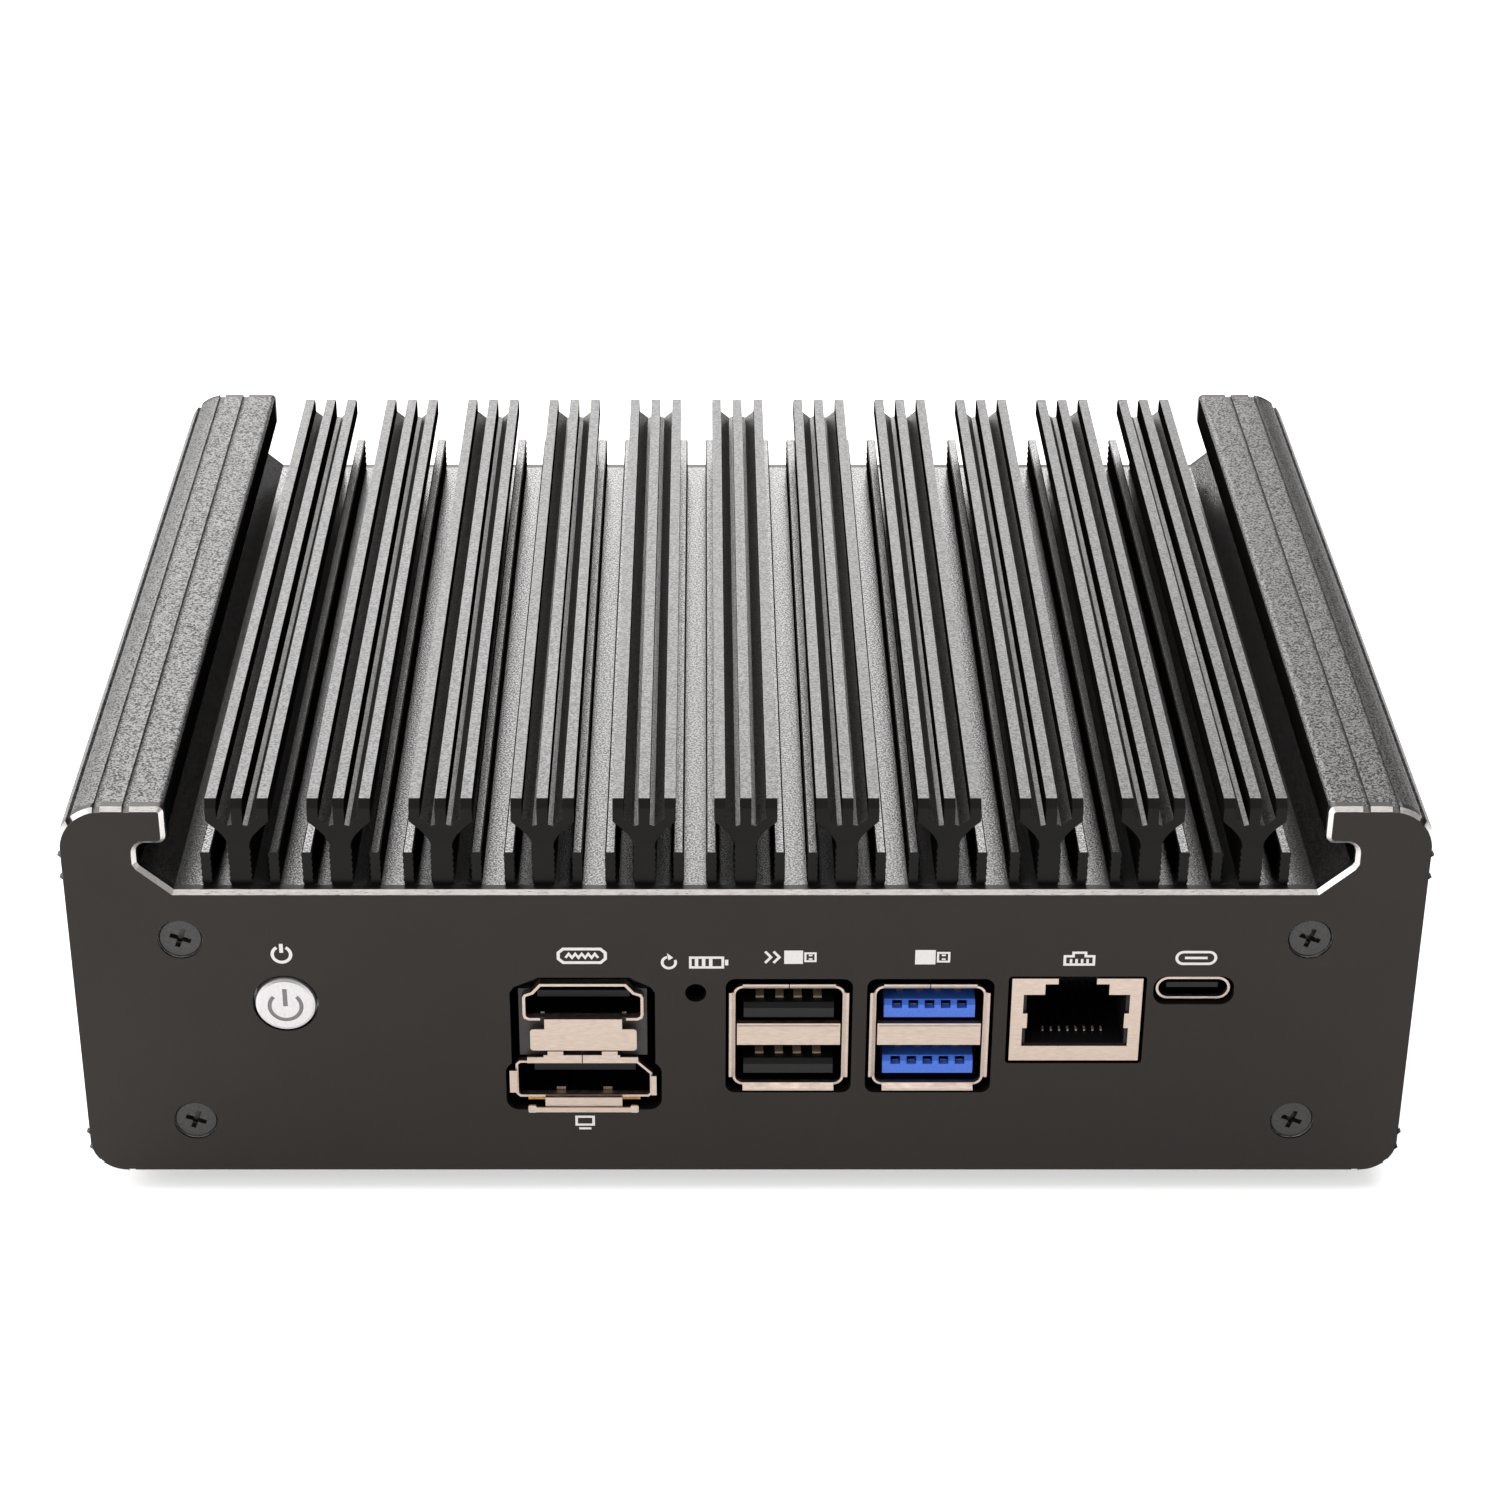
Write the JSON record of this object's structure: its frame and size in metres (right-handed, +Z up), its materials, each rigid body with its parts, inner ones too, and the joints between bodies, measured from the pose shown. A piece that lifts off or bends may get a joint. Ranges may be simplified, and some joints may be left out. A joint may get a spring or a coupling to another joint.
{
  "type": "mini pc",
  "caption": "Fanless desktop computer in a finned black aluminium housing, with a push-button, USB, video, serial and network sockets.",
  "frame": {"origin": "on the surface it stands on, under the middle of the four rubber feet", "axes": "+X to the right seen from the front panel, +Y from the front panel to the back, +Z up through the fins"},
  "size_m": [0.162, 0.1226, 0.055],
  "materials": {
    "blasted_aluminium": "black anodised, bead blasted",
    "anodised_panel": "black anodised, fine satin, raw bright chamfer",
    "foot_rubber": "matt",
    "black_steel": "black oxide",
    "button_silver": "satin",
    "ivory_plastic": "moulded",
    "black_plastic": "moulded",
    "grey_plastic": "moulded",
    "blue_plastic": "moulded",
    "circuit_board": "solder mask",
    "brass": "turned brass",
    "zinc_steel": "zinc plated",
    "copper": "milled copper",
    "grey_pad": "silicone",
    "inductor_grey": "ferrite",
    "capacitor_can": "drawn can",
    "connector_nickel": "satin nickel over steel sheet",
    "contact_gold": "gold plated",
    "amber_tape": "polyimide",
    "light_pipe": "clear green"
  },
  "bodies": {
    "root": {"heatsink_housing": "blasted_aluminium", "front_panel": "anodised_panel", "rear_panel": "anodised_panel", "bottom_cover": "anodised_panel", "rubber_feet": "foot_rubber", "front_panel_screws": "black_steel", "rear_panel_screws": "black_steel", "bottom_cover_screws": "black_steel", "power_switch_body": "black_plastic", "reset_switch_body": "black_plastic", "motherboard": "circuit_board", "board_standoffs": "brass", "board_screws": "zinc_steel", "processor": "circuit_board", "heat_block": "copper", "heat_block_screws": "zinc_steel", "thermal_pad": "grey_pad", "power_inductors": "inductor_grey", "power_capacitors": "capacitor_can", "memory_slot": "black_plastic", "memory_module": "circuit_board", "drive_slot": "black_plastic", "solid_state_drive": "circuit_board", "drive_standoff": "brass", "drive_screw": "zinc_steel", "battery_holder": "black_plastic", "clock_battery": "zinc_steel", "hdmi_shell": "connector_nickel", "hdmi_insert": "black_plastic", "displayport_shell": "connector_nickel", "displayport_insert": "black_plastic", "displayport_tape": "amber_tape", "video_connector_housing": "grey_plastic", "usb2_shell": "connector_nickel", "usb2_divider": "connector_nickel", "usb2_insert": "black_plastic", "usb2_contacts": "contact_gold", "usb3_shell": "connector_nickel", "usb3_divider": "connector_nickel", "usb3_insert": "blue_plastic", "usb3_contacts": "connector_nickel", "usb_c_shell": "connector_nickel", "usb_c_insert": "black_plastic", "com_jack_shield": "connector_nickel", "com_jack_insert": "black_plastic", "com_jack_contacts": "contact_gold", "lan_jack_shields": "connector_nickel", "lan_jack_inserts": "black_plastic", "lan_jack_contacts": "contact_gold", "lan_jack_lights": "light_pipe", "power_inlet_body": "black_plastic", "power_inlet_pin": "zinc_steel"},
    "power_button": {"power_button_cap": "button_silver", "power_switch_stem": "ivory_plastic"},
    "reset_button": {"reset_switch_plunger": "black_plastic"},
    "memory_latch_left": {"memory_latch_left": "connector_nickel"},
    "memory_latch_right": {"memory_latch_right": "connector_nickel"}
  },
  "joints": [
    {"name": "power_press", "type": "slide", "parent": "root", "child": "power_button", "axis": [0, 1, 0], "range_m": [0, 0.0008], "stiffness_N_per_m": 1500},
    {"name": "reset_press", "type": "slide", "parent": "root", "child": "reset_button", "axis": [0, 1, 0], "range_m": [0, 0.0005], "stiffness_N_per_m": 1500},
    {"name": "latch_left_swing", "type": "hinge", "parent": "root", "child": "memory_latch_left", "pos_m": [-0.047, -0.0027, 0.02775], "axis": [0, 0, 1], "range_deg": [0, 9], "stiffness_Nm_per_rad": 0.05},
    {"name": "latch_right_swing", "type": "hinge", "parent": "root", "child": "memory_latch_right", "pos_m": [0.023, -0.0027, 0.02775], "axis": [0, 0, -1], "range_deg": [0, 9], "stiffness_Nm_per_rad": 0.05}
  ]
}
